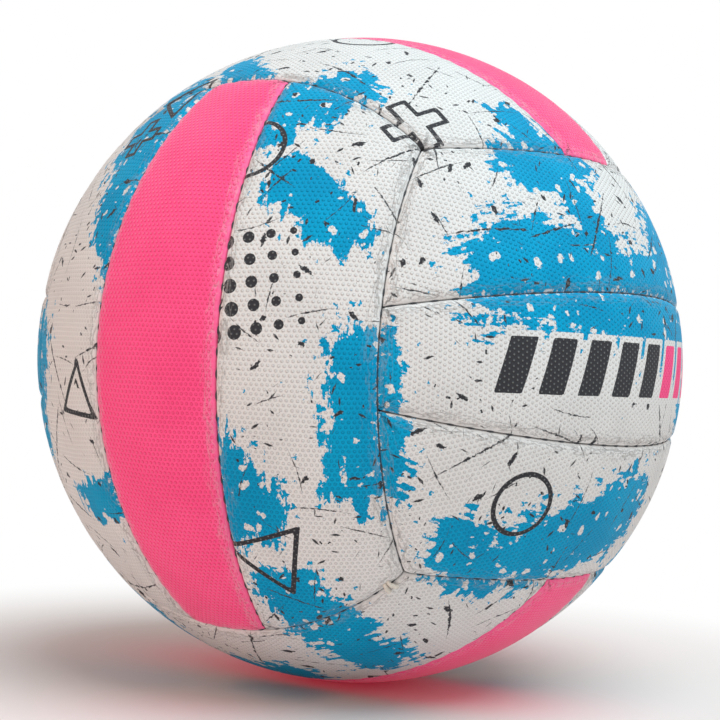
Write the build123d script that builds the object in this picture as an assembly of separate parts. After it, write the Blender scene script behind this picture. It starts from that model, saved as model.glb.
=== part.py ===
"""Size 5 netball: eighteen stitched panels over an inflated bladder.

Millimetres, origin at the ball's centre, +Z up. The cover is six groups of three strips, one group on each
face of a cube, and the strips of neighbouring groups run at right angles. Every strip is a moulded cover
with turned-in edges, filled by a cloth backing. Thread runs in the seams. The valve is in the back group.

Each strip is made once, in the frame of its own face: the face's normal is +Z, the strip runs along X, and
Y goes across the group. The result is then placed on all six faces.
"""

import os
from math import acos, asin, atan2, cos, radians, sin, sqrt

from build123d import *

# Ball and layout of the panels
BALL_DIAMETER = 222.8
MIDDLE_STRIP_ANGLE = 25.0
SEAM_DRAW_ANGLE = 7.5
SEAM_GAP = 0.2

# Layers of one panel
COVER_THICKNESS = 1.2
BACKING_THICKNESS = 2.4
LAYER_CLEARANCE = 0.1
BACKING_EDGE_ROUND = 1.2
CORNER_EXTRA_ROUND = 1.0

# Thread in the seams
THREAD_DIAMETER = 0.8
THREAD_END_GAP = 1.0
CLOSING_STITCH_DIAMETER = 1.6
CLOSING_STITCH_LENGTH = 3.4
CLOSING_STITCH_FIRST = 5.0
CLOSING_STITCH_PITCH = 2.2
CLOSING_STITCH_COUNT = 2
CLOSING_STITCH_SPLAY = 14.0

# Bladder and its patch
BLADDER_THICKNESS = 0.9
PATCH_DIAMETER = 40.0
PATCH_THICKNESS = 0.6

# Valve
SEAT_FLANGE_DIAMETER = 24.0
SEAT_FLANGE_THICKNESS = 1.0
SEAT_NECK_DIAMETER = 9.0
SEAT_LIP_THICKNESS = 1.2
SEAT_LIP_OPENING = 3.4
PLUG_HEAD_DIAMETER = 6.5
PLUG_HEAD_THICKNESS = 1.0
PLUG_HEAD_ROUND = 0.3
PLUG_SHANK_DIAMETER = 5.0
PLUG_SHANK_LENGTH = 14.0
PLUG_RECESS = 0.4
NEEDLE_BORE_DIAMETER = 2.0
NEEDLE_BORE_DEPTH = 9.0
PLUG_SLIT_WIDTH = 0.2
PLUG_SLIT_LENGTH = 3.0

# Depths under the ball's surface
BALL_RADIUS = BALL_DIAMETER / 2
BACKING_TOP = COVER_THICKNESS + LAYER_CLEARANCE
PANEL_DEPTH = BACKING_TOP + BACKING_THICKNESS
BLADDER_TOP = PANEL_DEPTH + LAYER_CLEARANCE
BLADDER_BOTTOM = BLADDER_TOP + BLADDER_THICKNESS
COVER_EDGE_ROUND = BACKING_EDGE_ROUND + BACKING_TOP

# Seam along a group's long side: a small circle through two corners of the cube, drawn in at mid-length
MIDDLE_HALF = radians(MIDDLE_STRIP_ANGLE / 2)
EDGE_HALF = radians(45.0 - SEAM_DRAW_ANGLE)
CORNER_REACH = 1 / sqrt(3)
EDGE_LEAN = atan2(sin(EDGE_HALF) - CORNER_REACH, cos(EDGE_HALF) - CORNER_REACH)
EDGE_HEIGHT = sin(EDGE_HALF) * cos(EDGE_LEAN) - cos(EDGE_HALF) * sin(EDGE_LEAN)
EDGE_RADIUS = sqrt(1 - EDGE_HEIGHT**2)
EDGE_SPAN = asin(CORNER_REACH / EDGE_RADIUS)

# Seam between two strips of a group: a great circle that ends on the neighbouring groups' long sides
INNER_RISE = cos(EDGE_LEAN) * cos(MIDDLE_HALF)
INNER_SPAN = acos(EDGE_HEIGHT / sqrt(INNER_RISE**2 + sin(EDGE_LEAN) ** 2)) - atan2(sin(EDGE_LEAN), INNER_RISE)

FACES = {
    "top": Plane((0, 0, 0), x_dir=(1, 0, 0), z_dir=(0, 0, 1)),
    "bottom": Plane((0, 0, 0), x_dir=(1, 0, 0), z_dir=(0, 0, -1)),
    "front": Plane((0, 0, 0), x_dir=(0, 0, 1), z_dir=(0, -1, 0)),
    "back": Plane((0, 0, 0), x_dir=(0, 0, 1), z_dir=(0, 1, 0)),
    "right": Plane((0, 0, 0), x_dir=(0, 1, 0), z_dir=(1, 0, 0)),
    "left": Plane((0, 0, 0), x_dir=(0, 1, 0), z_dir=(-1, 0, 0)),
}
VALVE_FACE = "back"
CLOSING_FACE = "bottom"


def ball(depth):
    """Solid ball whose surface lies at a depth; its poles lie along X, clear of every panel and of the valve."""
    return Rot(0, 90, 0) * Sphere(BALL_RADIUS - depth)


def layer(top, bottom):
    """Hollow ball between two depths."""
    return ball(top) - ball(bottom)


def disc(diameter, top, bottom):
    """Round bar on the face's normal, between two depths."""
    length = bottom - top
    low = Pos(0, 0, BALL_RADIUS - bottom)
    return low * Cylinder(diameter / 2, length, align=(Align.CENTER, Align.CENTER, Align.MIN))


# Panels


def end_walls(radius, inset):
    """Planes, as outward normal and distance from the centre, that cut a strip to length."""
    distance = EDGE_HEIGHT * radius + inset * EDGE_RADIUS
    return [(Vector(way * sin(EDGE_LEAN), 0, -cos(EDGE_LEAN)), -distance) for way in (-1, 1)]


def middle_walls(radius, inset):
    """Planes along both sides of a middle strip."""
    return [(Vector(0, way * cos(MIDDLE_HALF), -sin(MIDDLE_HALF)), -inset) for way in (-1, 1)]


def outer_walls(radius, inset):
    """Planes along both sides of an outer strip: the inner seam and the group's long side."""
    inner = (Vector(0, -cos(MIDDLE_HALF), sin(MIDDLE_HALF)), -inset)
    long_side = (Vector(0, cos(EDGE_LEAN), -sin(EDGE_LEAN)), EDGE_HEIGHT * radius - inset * EDGE_RADIUS)
    return [inner, long_side]


def half_space(normal, distance):
    """Large block that ends at a plane and lies on its inner side."""
    size = 4 * BALL_RADIUS
    block = Box(size, size, size, align=(Align.CENTER, Align.CENTER, Align.MAX))
    return Plane(origin=normal * distance, z_dir=normal) * block


def on_sphere(edge, radius):
    """True for an edge that stays at one distance from the centre."""
    return all(abs((edge @ share).length - radius) < 1e-3 for share in (0, 0.5, 1))


def is_radial(edge, reach):
    """True for an edge that runs most of a reach towards the centre."""
    return abs((edge @ 0).length - (edge @ 1).length) > reach / 2


def strip_block(side_walls, top, bottom):
    """Strip between two depths with radial walls, drawn in from its seams by as much as its top lies deep."""
    radius = BALL_RADIUS - top
    inset = SEAM_GAP / 2 + top
    piece = ball(top)
    for normal, distance in end_walls(radius, inset) + side_walls(radius, inset):
        piece = piece & half_space(normal, distance)
    skin = piece.faces().filter_by(GeomType.SPHERE)[0]
    block = thicken(skin, top - bottom)
    edge_round = COVER_EDGE_ROUND - top
    corners = [edge for edge in block.edges() if is_radial(edge, bottom - top)]
    block = fillet(corners, edge_round + CORNER_EXTRA_ROUND)
    rim = [edge for edge in block.edges() if on_sphere(edge, radius)]
    return fillet(rim, edge_round)


def make_cover(side_walls):
    """Moulded skin with a rounded, turned-in edge all round, open towards the bladder."""
    outside = strip_block(side_walls, 0, PANEL_DEPTH)
    inside = strip_block(side_walls, COVER_THICKNESS, PANEL_DEPTH + COVER_THICKNESS)
    return outside - inside


def make_backing(side_walls):
    """Cloth laminate that fills a cover."""
    return strip_block(side_walls, BACKING_TOP, PANEL_DEPTH)


# Thread


def strand_depth(diameter, reach):
    """Depth of a strand that lies across or along a seam and rests on both rounded edges, a reach off centre."""
    across = COVER_EDGE_ROUND + SEAM_GAP / 2 - reach
    apart = COVER_EDGE_ROUND + diameter / 2 + LAYER_CLEARANCE
    return COVER_EDGE_ROUND - sqrt(apart**2 - across**2)


def long_side_point(turn):
    """Unit vector on the group's long side at +Y, a turn away from its mid-length."""
    axis = Vector(0, cos(EDGE_LEAN), -sin(EDGE_LEAN))
    towards_middle = Vector(0, sin(EDGE_LEAN), cos(EDGE_LEAN))
    along = Vector(1, 0, 0)
    return axis * EDGE_HEIGHT + (towards_middle * cos(turn) + along * sin(turn)) * EDGE_RADIUS


def inner_seam_point(turn):
    """Unit vector on the seam between the middle strip and the strip at +Y."""
    return Vector(sin(turn), cos(turn) * sin(MIDDLE_HALF), cos(turn) * cos(MIDDLE_HALF))


def seam_thread(point_at, span, arc_radius):
    """Thread along one seam that stops short of the seams that cross its ends."""
    radius = BALL_RADIUS - strand_depth(THREAD_DIAMETER, 0)
    stop = span - THREAD_END_GAP / (radius * arc_radius)
    path = ThreePointArc(*[point_at(turn) * radius for turn in (-stop, 0, stop)])
    return sweep(Plane(origin=path @ 0, z_dir=path % 0) * Circle(THREAD_DIAMETER / 2), path=path)


def make_face_thread():
    """Threads of the four seams that belong to one group."""
    one_side = [seam_thread(long_side_point, EDGE_SPAN, EDGE_RADIUS), seam_thread(inner_seam_point, INNER_SPAN, 1)]
    return one_side + [Rot(0, 0, 180) * thread for thread in one_side]


def make_closing_stitches():
    """Short thick stitches across the long side at +Y, next to the corner at +X, splayed like a V."""
    reach = (CLOSING_STITCH_LENGTH - CLOSING_STITCH_DIAMETER) / 2
    radius = BALL_RADIUS - strand_depth(CLOSING_STITCH_DIAMETER, reach)
    bar = Cylinder(CLOSING_STITCH_DIAMETER / 2, 2 * reach)
    end = Pos(0, 0, reach) * Sphere(CLOSING_STITCH_DIAMETER / 2)
    stitch = bar + end + Rot(180, 0, 0) * end
    axis = Vector(0, cos(EDGE_LEAN), -sin(EDGE_LEAN))
    stitches = []
    for number in range(CLOSING_STITCH_COUNT):
        from_corner = CLOSING_STITCH_FIRST + number * CLOSING_STITCH_PITCH
        up = long_side_point(EDGE_SPAN - from_corner / (radius * EDGE_RADIUS))
        across = axis - up * axis.dot(up)
        splay = CLOSING_STITCH_SPLAY * (-1) ** number
        stitches.append(Plane(origin=up * radius, x_dir=up, z_dir=across) * Rot(splay, 0, 0) * stitch)
    return stitches


# Bladder and valve, in the frame of the face that carries the valve


def valve_hole(diameter, bottom):
    """Cutter with clearance around a round valve piece, from outside the ball down to a depth."""
    return disc(diameter + 2 * LAYER_CLEARANCE, -COVER_THICKNESS, bottom)


def make_bladder():
    """Thin rubber ball with a hole for the valve's neck."""
    return layer(BLADDER_TOP, BLADDER_BOTTOM) - valve_hole(SEAT_NECK_DIAMETER, 2 * BLADDER_BOTTOM)


def make_patch():
    """Round cloth patch on the bladder around the valve."""
    patch = layer(PANEL_DEPTH - PATCH_THICKNESS, PANEL_DEPTH) & disc(PATCH_DIAMETER, 0, 2 * PANEL_DEPTH)
    return patch - valve_hole(SEAT_NECK_DIAMETER, 2 * PANEL_DEPTH)


PLUG_SHOULDER = PLUG_RECESS + PLUG_HEAD_THICKNESS
PLUG_END = PLUG_SHOULDER + PLUG_SHANK_LENGTH


def make_valve_seat():
    """Rubber sleeve with a flange that is bonded to the inside of the bladder, and a lip under the plug."""
    flange_top = BLADDER_BOTTOM + LAYER_CLEARANCE
    flange = layer(flange_top, flange_top + SEAT_FLANGE_THICKNESS)
    flange = flange & disc(SEAT_FLANGE_DIAMETER, 0, 2 * PLUG_END)
    lip_top = PLUG_END + LAYER_CLEARANCE
    sleeve = disc(SEAT_NECK_DIAMETER, PLUG_SHOULDER, lip_top + SEAT_LIP_THICKNESS)
    seat = flange + sleeve
    seat = seat - valve_hole(PLUG_SHANK_DIAMETER, lip_top)
    return seat - disc(SEAT_LIP_OPENING, 0, 2 * PLUG_END)


def make_valve_plug():
    """Soft plug with a needle guide from its head and a slit that closes below it."""
    head = disc(PLUG_HEAD_DIAMETER, PLUG_RECESS, PLUG_SHOULDER)
    head = fillet(head.edges().group_by(Axis.Z)[-1], PLUG_HEAD_ROUND)
    plug = head + disc(PLUG_SHANK_DIAMETER, PLUG_SHOULDER, PLUG_END)
    bore_end = PLUG_RECESS + NEEDLE_BORE_DEPTH
    plug = plug - disc(NEEDLE_BORE_DIAMETER, 0, bore_end)
    slit_height = PLUG_END - bore_end
    slit = Pos(0, 0, BALL_RADIUS - PLUG_END) * Box(
        PLUG_SLIT_LENGTH, PLUG_SLIT_WIDTH, slit_height, align=(Align.CENTER, Align.CENTER, Align.MIN)
    )
    return plug - slit


def open_for_valve(cover, backing):
    """Strip that carries the valve: a hole through both layers, and a recess under the backing for the patch."""
    recess_top = PANEL_DEPTH - PATCH_THICKNESS - LAYER_CLEARANCE
    recess = valve_hole(PATCH_DIAMETER, 2 * PANEL_DEPTH) & ball(recess_top)
    cover = cover - valve_hole(PLUG_HEAD_DIAMETER, 2 * PANEL_DEPTH)
    backing = backing - valve_hole(SEAT_NECK_DIAMETER, 2 * PANEL_DEPTH)
    return cover, backing - recess


def save(name, shape):
    """Write one node."""
    export_step(shape, f"parts/{name}.step")


os.makedirs("parts", exist_ok=True)
middle = make_cover(middle_walls), make_backing(middle_walls)
outer = make_cover(outer_walls), make_backing(outer_walls)
half_turn = Rot(0, 0, 180)
threads = make_face_thread()

for face, place in FACES.items():
    centre = open_for_valve(*middle) if face == VALVE_FACE else middle
    strips = {"first": [half_turn * piece for piece in outer], "middle": centre, "last": outer}
    for strip, (cover, backing) in strips.items():
        save(f"cover_{face}_{strip}", place * cover)
        save(f"backing_{face}_{strip}", place * backing)
    save(f"thread_{face}", Compound(children=[place * thread for thread in threads]))

valve_place = FACES[VALVE_FACE]
save("bladder", valve_place * make_bladder())
save("bladder_patch", valve_place * make_patch())
save("valve_seat", valve_place * make_valve_seat())
save("valve_plug", valve_place * make_valve_plug())
save("closing_stitch", Compound(children=[FACES[CLOSING_FACE] * stitch for stitch in make_closing_stitches()]))
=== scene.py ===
# %% [markdown]
# A netball, panel by panel.
# The ball is eighteen stitched panels over a rubber bladder: six groups of three strips, laid like the
# faces of a cube so that each group runs across its neighbours. The solids of every piece are loaded first,
# and they fix the size and the place of all that follows. Everything here is in the solids' frame, with +Z
# up. Shapes are worked out in millimetres and become metres when they are put into a mesh.

# %% Load the solids
import bpy
import numpy as np
from mathutils import Matrix, Vector


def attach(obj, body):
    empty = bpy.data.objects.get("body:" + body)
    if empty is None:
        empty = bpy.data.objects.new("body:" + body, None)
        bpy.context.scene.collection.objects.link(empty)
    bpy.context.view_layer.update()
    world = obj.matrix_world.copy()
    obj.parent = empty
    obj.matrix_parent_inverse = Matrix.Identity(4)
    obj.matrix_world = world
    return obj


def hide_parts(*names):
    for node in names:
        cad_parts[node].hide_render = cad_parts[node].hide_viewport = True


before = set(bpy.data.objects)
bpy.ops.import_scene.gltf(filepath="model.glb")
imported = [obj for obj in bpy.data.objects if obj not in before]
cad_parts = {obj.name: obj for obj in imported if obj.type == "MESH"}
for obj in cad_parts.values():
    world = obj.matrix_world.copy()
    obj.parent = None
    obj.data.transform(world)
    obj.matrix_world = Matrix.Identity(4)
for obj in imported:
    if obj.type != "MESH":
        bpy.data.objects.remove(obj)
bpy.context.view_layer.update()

# %% [markdown]
# Where the seams run.
# Each group of strips is worked out in its own frame: Z out of the ball through the middle of the group, X
# along the strips, Y across them. A point is a direction with two angles, `along` a strip and `across` it.
# The two seams inside a group are great circles. The long side of a group is drawn in towards its middle,
# so it is a smaller circle that passes through the cube's corners. Angles keep this exact, where drawing
# and projecting curves would leave small gaps.

# %% Seam angles
BALL_RADIUS = 111.4  # mm, half the solids' box
MIDDLE_HALF = np.radians(12.5)  # from the middle of a group to a seam inside it
LONG_SIDE_MID = np.radians(37.5)  # and to the middle of its long side
corner_level = 1 / np.sqrt(3)  # each coordinate of a cube's corner on a ball of radius 1
SIDE_LEAN = np.arctan2(np.sin(LONG_SIDE_MID) - corner_level, np.cos(LONG_SIDE_MID) - corner_level)
SIDE_HEIGHT = np.sin(LONG_SIDE_MID - SIDE_LEAN)  # of the long side's plane over the middle of that ball
SIDE_TURN = np.arccos(SIDE_HEIGHT)  # from the plane's axis out to the long side
SIDE_SPAN = np.arcsin(corner_level / np.sin(SIDE_TURN))  # half of the turn from corner to corner


def direction(along, across):
    """Unit vector of a point: sine of along on X, and its cosine shared between Y and Z by across."""
    return np.stack([np.sin(along), np.cos(along) * np.sin(across), np.cos(along) * np.cos(across)], axis=-1)


def end_of_strip(across, inset):
    """Angle along the strip at which it is inset mm short of the neighbouring group's long side: there a
    cosine and a sine of the angle, weighed by that side's lean, add up to the height of its circle."""
    rise, lean = np.cos(SIDE_LEAN) * np.cos(across), np.sin(SIDE_LEAN)
    level = np.cos(SIDE_TURN - inset / BALL_RADIUS) / np.hypot(rise, lean)
    return np.arccos(np.clip(level, -1, 1)) - np.arctan2(lean, rise)


def inner_seam(along, inset):
    """Angle across, away from a seam inside the group, at inset mm from it."""
    return np.arcsin(np.sin(inset / BALL_RADIUS) / np.cos(along))


def long_side(along, inset):
    """Angle across at inset mm inside the group's long side."""
    return SIDE_LEAN + np.arcsin(np.cos(SIDE_TURN + inset / BALL_RADIUS) / np.cos(along))


INNER_SPAN = float(end_of_strip(MIDDLE_HALF, 0.0))
print("strips reach", np.degrees(INNER_SPAN).round(2), "degrees each way from the middle of their group")

# %% [markdown]
# The grid of one panel.
# A panel is a cover sheet folded over the edge of its backing, so its face is smooth and its rim rolls down
# into the seam. The grid has close rows on the roll and even rows between. A row is kept at a set distance
# from the edge, which keeps the roll the same width all round, and near a corner the rows are bent, as when
# a square is made a disc, so the panel's corners are round. Rows along and across depend on each other, so
# a few passes settle them. Panels could be cut out of a sphere instead, but the cuts would cross its faces
# and leave ragged rims.

# %% Rows and columns
EDGE_ROLL, ROLL_DROP = 3.0, 1.4  # mm in from the rim, and mm down, over which the fold turns
CORNER_ROUND, CORNER_CUT = 3.2, 0.3  # mm, and how much of a full round the corner gets
SEAM_HALF_GAP = 0.06  # mm
ROLL_ROWS = 8
COLUMNS, MIDDLE_ROWS, OUTER_ROWS = 235, 40, 50  # the even ones, about 1 mm apart
SETTLE_PASSES = 12
roll_turn = np.linspace(0, np.pi / 2, ROLL_ROWS)
EDGE_ROWS = np.r_[EDGE_ROLL * (1 - np.cos(roll_turn)), CORNER_ROUND]


def grid_axis(inside):
    """Distance from the low edge and from the high edge, and the share of the way between them, for each
    row: those of a roll, the even ones inside, and those of the other roll."""
    low = np.r_[EDGE_ROWS, np.full(inside + len(EDGE_ROWS), CORNER_ROUND)]
    share = np.r_[np.zeros(len(EDGE_ROWS)), np.linspace(0, 1, inside + 2)[1:-1], np.ones(len(EDGE_ROWS))]
    return low, low[::-1], share


def panel_grid(middle, inset):
    """Angles along and across at every grid point of a panel, and how far each lies in from the rounded
    rim. A row's distance from its edge is bent by the root of one less a part of the square of the other
    distance."""
    low_a, high_a, share_a = grid_axis(MIDDLE_ROWS if middle else OUTER_ROWS)
    low_b, high_b, share_b = grid_axis(COLUMNS)
    near_a = 1 - np.minimum(low_a, high_a)[:, None] / CORNER_ROUND
    near_b = 1 - np.minimum(low_b, high_b)[None, :] / CORNER_ROUND
    bent_a = CORNER_ROUND * (1 - near_a * np.sqrt(1 - CORNER_CUT * near_b**2 / 2)) + inset
    bent_b = CORNER_ROUND * (1 - near_b * np.sqrt(1 - CORNER_CUT * near_a**2 / 2)) + inset
    from_rim = CORNER_ROUND * (1 - np.sqrt(near_a**2 + near_b**2 - near_a**2 * near_b**2))
    share_a, share_b = share_a[:, None], share_b[None, :]
    along = np.zeros(from_rim.shape)
    for _ in range(SETTLE_PASSES):
        if middle:
            low = -MIDDLE_HALF + inner_seam(along, bent_a)
            high = MIDDLE_HALF - inner_seam(along, bent_a)
        else:
            low = MIDDLE_HALF + inner_seam(along, bent_a)
            high = long_side(along, bent_a)
        across = low * (1 - share_a) + high * share_a
        along = end_of_strip(across, bent_b) * (2 * share_b - 1)
    return along, across, from_rim


for middle in (True, False):
    along, across, from_rim = panel_grid(middle, SEAM_HALF_GAP)
    kind = "middle" if middle else "outer"
    print(kind, "panel grid", along.shape, "ends at", np.degrees(along.max()).round(2))

# %% [markdown]
# The shape of a panel's face.
# On the ball the padded panel is taut in the middle and is drawn down by the stitches along its rim. The
# seam's thread comes up every few millimetres, so the rim has shallow dips at that spacing, which line up
# on both sides of a seam because they are counted from the seam's own middle. Displacing the grid by
# formulas gives this shape at once; a cloth simulation would give less even puckers and take minutes.

# %% Distances from the seams
STITCH_PITCH = 6.5  # mm
side_axis = np.array([0, np.cos(SIDE_LEAN), -np.sin(SIDE_LEAN)])
side_mid = np.array([0, np.sin(SIDE_LEAN), np.cos(SIDE_LEAN)])


def angle_to(points, axis):
    """Angle between each direction and an axis."""
    return np.arccos(np.clip(points @ axis, -1, 1))


def seam_table(points, middle):
    """Distance in mm to each of the panel's four seams, and the place along each, counted from its middle.
    For a circle, the distance is the angle to its axis less the circle's own, and the place is the turn
    round it."""
    along = np.arcsin(points[..., 0])
    across = np.arctan2(points[..., 1], points[..., 2])
    low_at = -MIDDLE_HALF if middle else MIDDLE_HALF
    distances = [BALL_RADIUS * np.arcsin(np.cos(along) * np.sin(across - low_at))]
    places = [BALL_RADIUS * along]
    side_arc = BALL_RADIUS * np.sin(SIDE_TURN)
    if middle:
        distances.append(BALL_RADIUS * np.arcsin(np.cos(along) * np.sin(MIDDLE_HALF - across)))
        places.append(BALL_RADIUS * along)
    else:
        distances.append(BALL_RADIUS * (angle_to(points, side_axis) - SIDE_TURN))
        places.append(side_arc * np.arctan2(points[..., 0], points @ side_mid))
    for sign in (-1, 1):
        end_axis = np.array([-sign * np.sin(SIDE_LEAN), 0, np.cos(SIDE_LEAN)])
        end_mid = np.array([sign * np.cos(SIDE_LEAN), 0, np.sin(SIDE_LEAN)])
        distances.append(BALL_RADIUS * (SIDE_TURN - angle_to(points, end_axis)))
        places.append(side_arc * np.arctan2(points[..., 1], points @ end_mid))
    return np.stack(distances), np.stack(places)


distances, places = seam_table(direction(along, across), False)
print("an outer panel's middle is", distances.min(axis=0).max().round(1), "mm from the nearest seam")

# %% Depth of a panel's face
CROWN_DROP, CROWN_REACH = 0.42, 4.5  # mm, how deep and how far in
PUCKER_DEPTH, PUCKER_REACH = 0.12, 3.2  # mm, the same for the dips at the stitches


def face_depth(from_rim, distances, places):
    """Depth below the ball's full radius: a quarter ellipse at the rim, a slow fall towards every seam, and
    dips on a cosine of the place along the seam that fade with the distance from it."""
    rise = 1 - np.minimum(from_rim / EDGE_ROLL, 1)
    roll = ROLL_DROP * (1 - np.sqrt(1 - rise**2))
    crown = CROWN_DROP * np.exp(-distances.min(axis=0) / CROWN_REACH)
    fade = np.exp(-((distances / PUCKER_REACH) ** 2))
    dips = PUCKER_DEPTH * (fade * np.cos(2 * np.pi * places / STITCH_PITCH)).sum(axis=0)
    return roll + crown + np.maximum(dips, -CROWN_DROP / 2)


depth = face_depth(from_rim, distances, places)
print("face lies from", depth.min().round(3), "to", depth.max().round(3), "mm below the full radius")

# %% [markdown]
# Closing a panel into a body.
# A panel is not a film: the cover sheet is turned under, so the mesh goes on from the rim, down the side of
# the seam, in under the fold and back along the inside of the sheet. Each of these steps is a ring of
# points, one for each rim point of the grid, and the last ring closes on the middle. Rings are simple to
# join because all of them have the same count. A Solidify modifier would thicken the sheet, but it would
# not turn its edge under.

# %% Faces between points
def rim_order(rows, columns):
    """Indices of a grid's border, counter-clockwise as seen from outside."""
    index = np.arange(rows * columns).reshape(rows, columns)
    return np.r_[index[0, :-1], index[:-1, -1], index[-1, :0:-1], index[:0:-1, 0]]


def grid_faces(rows, columns):
    """Quads of a grid of points, facing out of the ball."""
    index = np.arange(rows * columns).reshape(rows, columns)
    corners = [index[:-1, :-1], index[:-1, 1:], index[1:, 1:], index[1:, :-1]]
    return np.stack([c.ravel() for c in corners], axis=1)


def ring_faces(first, second):
    """Quads between two closed rings of indices, the second being the next one on the way in."""
    return np.stack([second, np.roll(second, -1), np.roll(first, -1), first], axis=1)


def add_rings(points, quads, rings, start, inward=True):
    """Adds rings of points one after another to the ring of indices start, and gives the indices of the
    last."""
    total = sum(len(p) for p in points)
    for ring in rings:
        after = total + np.arange(len(ring))
        points.append(ring)
        quads.append(ring_faces(start, after) if inward else ring_faces(after, start))
        start, total = after, total + len(ring)
    return start


print("an outer panel's rim has", len(rim_order(*along.shape)), "points")

# %% Rings under a face
SHEET = 1.2  # mm, thickness of the cover sheet
FOLD_DEPTH, BODY_DEPTH = 3.1, 3.6  # mm below the full radius: where the fold starts, and its underside
UNDER_SHARES = (0.3, 0.6, 0.85)  # of the way in to the middle


def to_unit(vectors):
    """The same directions at length 1."""
    return vectors / np.linalg.norm(vectors, axis=-1, keepdims=True)


def under_rings(rim, inner, centre_radius):
    """Rings down the seam side of a panel, under its fold, and in along the inside of the sheet by shares
    of the way to its middle. The last is a circle where there is a hole."""
    rings = [rim * (BALL_RADIUS - FOLD_DEPTH), rim * (BALL_RADIUS - BODY_DEPTH),
             inner * (BALL_RADIUS - BODY_DEPTH), inner * (BALL_RADIUS - SHEET)]
    middle = to_unit(inner.mean(axis=0))
    for share in UNDER_SHARES:
        rings.append(to_unit(inner * (1 - share) + middle * share) * (BALL_RADIUS - SHEET))
    if centre_radius:
        side = to_unit(inner - middle * (inner @ middle)[:, None])
        rings.append(middle * np.sqrt((BALL_RADIUS - SHEET) ** 2 - centre_radius**2) + side * centre_radius)
    return rings, middle * (BALL_RADIUS - SHEET)


print("the sheet is", SHEET, "mm thick and is turned under to", BODY_DEPTH, "mm")

# %% [markdown]
# The hole over the valve.
# On one middle strip the sheet is punched for the valve. A block of the grid is left out there, and rings
# lead from the square edge of the block to the round hole, over its softened lip and down through the
# sheet. A Boolean modifier could cut the hole, but it leaves slivers round it that catch the light.

# %% Rings of the hole
VALVE_HOLE, LIP = 3.35, 0.5  # mm, radius of the hole and of its lip
HOLE_BLOCK = 6  # rows and columns that are left out, each way from the middle
HOLE_SHARES = (0.35, 0.7, 1.0)  # of the way from the block's edge to the lip
LIP_TURNS = np.radians((22.5, 45, 67.5, 90))


def hole_rings(edge_points):
    """Rings from the square edge of the left-out block to the hole, and the ray that each point lies on:
    the first rings go from square to circle on the ball, and the next turn over a lip of a quarter
    circle."""
    flat = edge_points[:, :2]
    reach = np.hypot(flat[:, 0], flat[:, 1])
    ray = flat / reach[:, None]
    rings = []
    for share in HOLE_SHARES:
        radius = reach * (1 - share) + (VALVE_HOLE + LIP) * share
        rings.append(np.c_[ray * radius[:, None], np.sqrt(BALL_RADIUS**2 - radius**2)])
    for turn in LIP_TURNS:
        radius = VALVE_HOLE + LIP * (1 - np.sin(turn))
        drop = LIP * (1 - np.cos(turn))
        rings.append(np.c_[ray * radius, np.full(len(ray), np.sqrt(BALL_RADIUS**2 - radius**2) - drop)])
    return rings, ray


def zip_rings(outer, inner, outer_angle, inner_angle):
    """Faces between two rings of different counts: each outer step goes to the inner point at its own
    angle."""
    outer = np.roll(outer, -int(np.argmin(outer_angle)))
    inner = np.roll(inner, -int(np.argmin(inner_angle)))
    match = np.arange(len(outer) + 1) * len(inner) // len(outer)
    ahead = np.roll(outer, -1)
    near, far = inner[match[:-1] % len(inner)], inner[match[1:] % len(inner)]
    same = near == far
    triangles = np.stack([near, ahead, outer], axis=1)
    return np.stack([near, far, ahead, outer], axis=1)[~same], triangles[same]


print("hole of", 2 * VALVE_HOLE, "mm with a lip of", LIP, "mm")

# %% Panel body
def punch_hole(points, quads, shape, last):
    """Leaves the block out of the face, adds the hole's rings, and zips the lowest one to the last ring
    inside the sheet, which makes the hole's wall."""
    row, column = shape[0] // 2 - HOLE_BLOCK, shape[1] // 2 - HOLE_BLOCK
    index = np.arange(shape[0] * shape[1]).reshape(shape)
    block = index[row:row + 2 * HOLE_BLOCK, column:column + 2 * HOLE_BLOCK]
    edge = block.ravel()[rim_order(*block.shape)]
    quads[0] = quads[0][~np.isin(quads[0], block).all(axis=1)]
    under = points[-1]
    hole, ray = hole_rings(points[0][edge])
    lowest = add_rings(points, quads, hole, edge, inward=False)
    under_angle, ray_angle = np.arctan2(under[:, 1], under[:, 0]), np.arctan2(ray[:, 1], ray[:, 0])
    zipped, filled = zip_rings(last, lowest, under_angle, ray_angle)
    quads.append(zipped)
    return filled


def panel_body(middle, valve):
    """All points and faces of one panel in its group's frame: the grid of its face, the rings under it, and
    a point that closes the last ring or the hole for the valve."""
    along, across, from_rim = panel_grid(middle, SEAM_HALF_GAP)
    face = direction(along, across)
    depth = face_depth(from_rim, *seam_table(face, middle))
    points = [(face * (BALL_RADIUS - depth)[..., None]).reshape(-1, 3)]
    quads = [grid_faces(*along.shape)]
    rim_index = rim_order(*along.shape)
    inner_along, inner_across, _ = panel_grid(middle, SEAM_HALF_GAP + SHEET)
    inner = direction(inner_along, inner_across).reshape(-1, 3)[rim_index]
    rings, centre = under_rings(face.reshape(-1, 3)[rim_index], inner, VALVE_HOLE if valve else 0)
    last = add_rings(points, quads, rings, rim_index)
    if valve:
        triangles = punch_hole(points, quads, along.shape, last)
    else:
        points.append(centre[None])
        triangles = np.stack([np.full(len(last), last[-1] + 1), np.roll(last, -1), last], axis=1)
    return np.concatenate(points), np.concatenate(quads), triangles


for middle, valve in ((True, False), (False, False), (True, True)):
    points, quads, triangles = panel_body(middle, valve)
    print("panel of", len(points), "points,", 2 * len(quads) + len(triangles), "triangles")

# %% [markdown]
# The eighteen places.
# The six groups are turned copies of one another. A group's frame is given by the directions of its strips
# and of its outward normal. In each group the first outer strip is the last one turned half round. Linked
# copies of one mesh would be lighter, but every panel has its own numbers for print and noise, so each gets
# a mesh of its own.

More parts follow.
